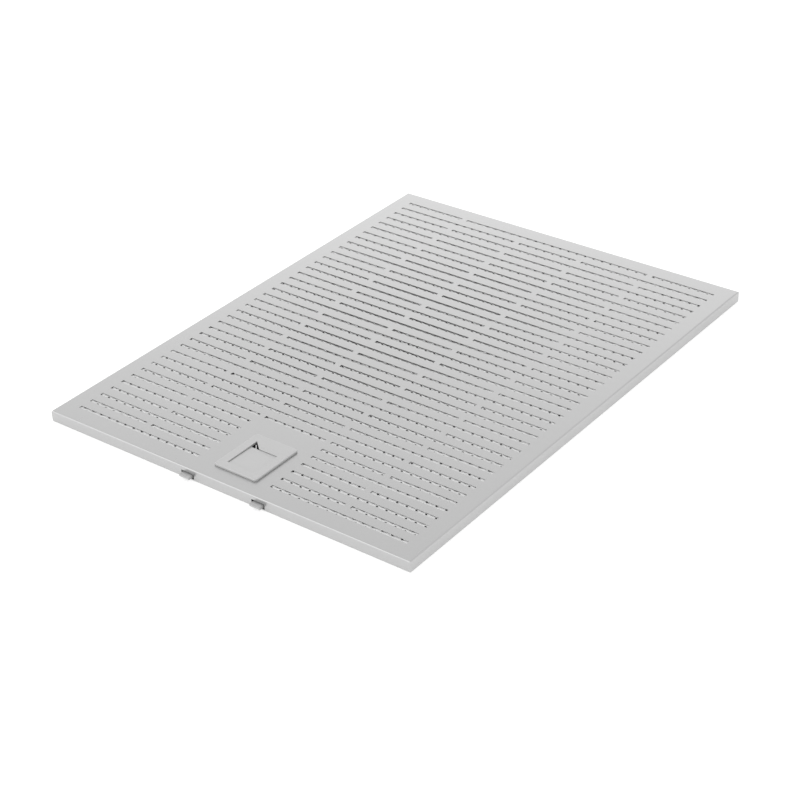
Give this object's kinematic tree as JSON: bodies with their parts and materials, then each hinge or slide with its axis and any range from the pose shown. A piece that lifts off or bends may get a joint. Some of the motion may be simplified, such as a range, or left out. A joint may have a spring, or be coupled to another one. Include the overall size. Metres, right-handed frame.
{
  "type": "cooker hood grease filter",
  "caption": "Flat rectangular cooker hood grease filter: slotted aluminium tray over crimped mesh, with a sprung finger latch at one end and fixed lugs at the other.",
  "frame": {"origin": "under the middle of the panel, on the surface that the hems lie on", "axes": "+Z out of the face that is seen in the hood, -Y towards the latch edge, +X to the right seen from the latch edge"},
  "size_m": [0.3, 0.4084, 0.0101],
  "materials": {
    "aluminium_sheet": "satin",
    "aluminium_mesh": "bright",
    "silver_plastic": "satin silver",
    "grey_plastic": "matt",
    "steel": "plain"
  },
  "bodies": {
    "filter": {"front_tray": "aluminium_sheet", "back_sheet": "aluminium_sheet", "handle_bezel": "silver_plastic", "latch_base": "grey_plastic", "base_screws": "steel", "return_spring_left": "steel", "return_spring_right": "steel", "rear_lug_left": "silver_plastic", "rear_lug_right": "silver_plastic", "mesh_layer_1": "aluminium_mesh", "mesh_layer_2": "aluminium_mesh", "mesh_layer_3": "aluminium_mesh", "mesh_layer_4": "aluminium_mesh", "mesh_layer_5": "aluminium_mesh", "mesh_layer_6": "aluminium_mesh"},
    "latch": {"latch_slide": "silver_plastic"}
  },
  "joints": [
    {"name": "latch_release", "type": "slide", "parent": "filter", "child": "latch", "axis": [0, 1, 0], "range_m": [0, 0.005], "stiffness_N_per_m": 800, "springref_m": -0.006, "deforming": ["return_spring_left", "return_spring_right"]}
  ]
}
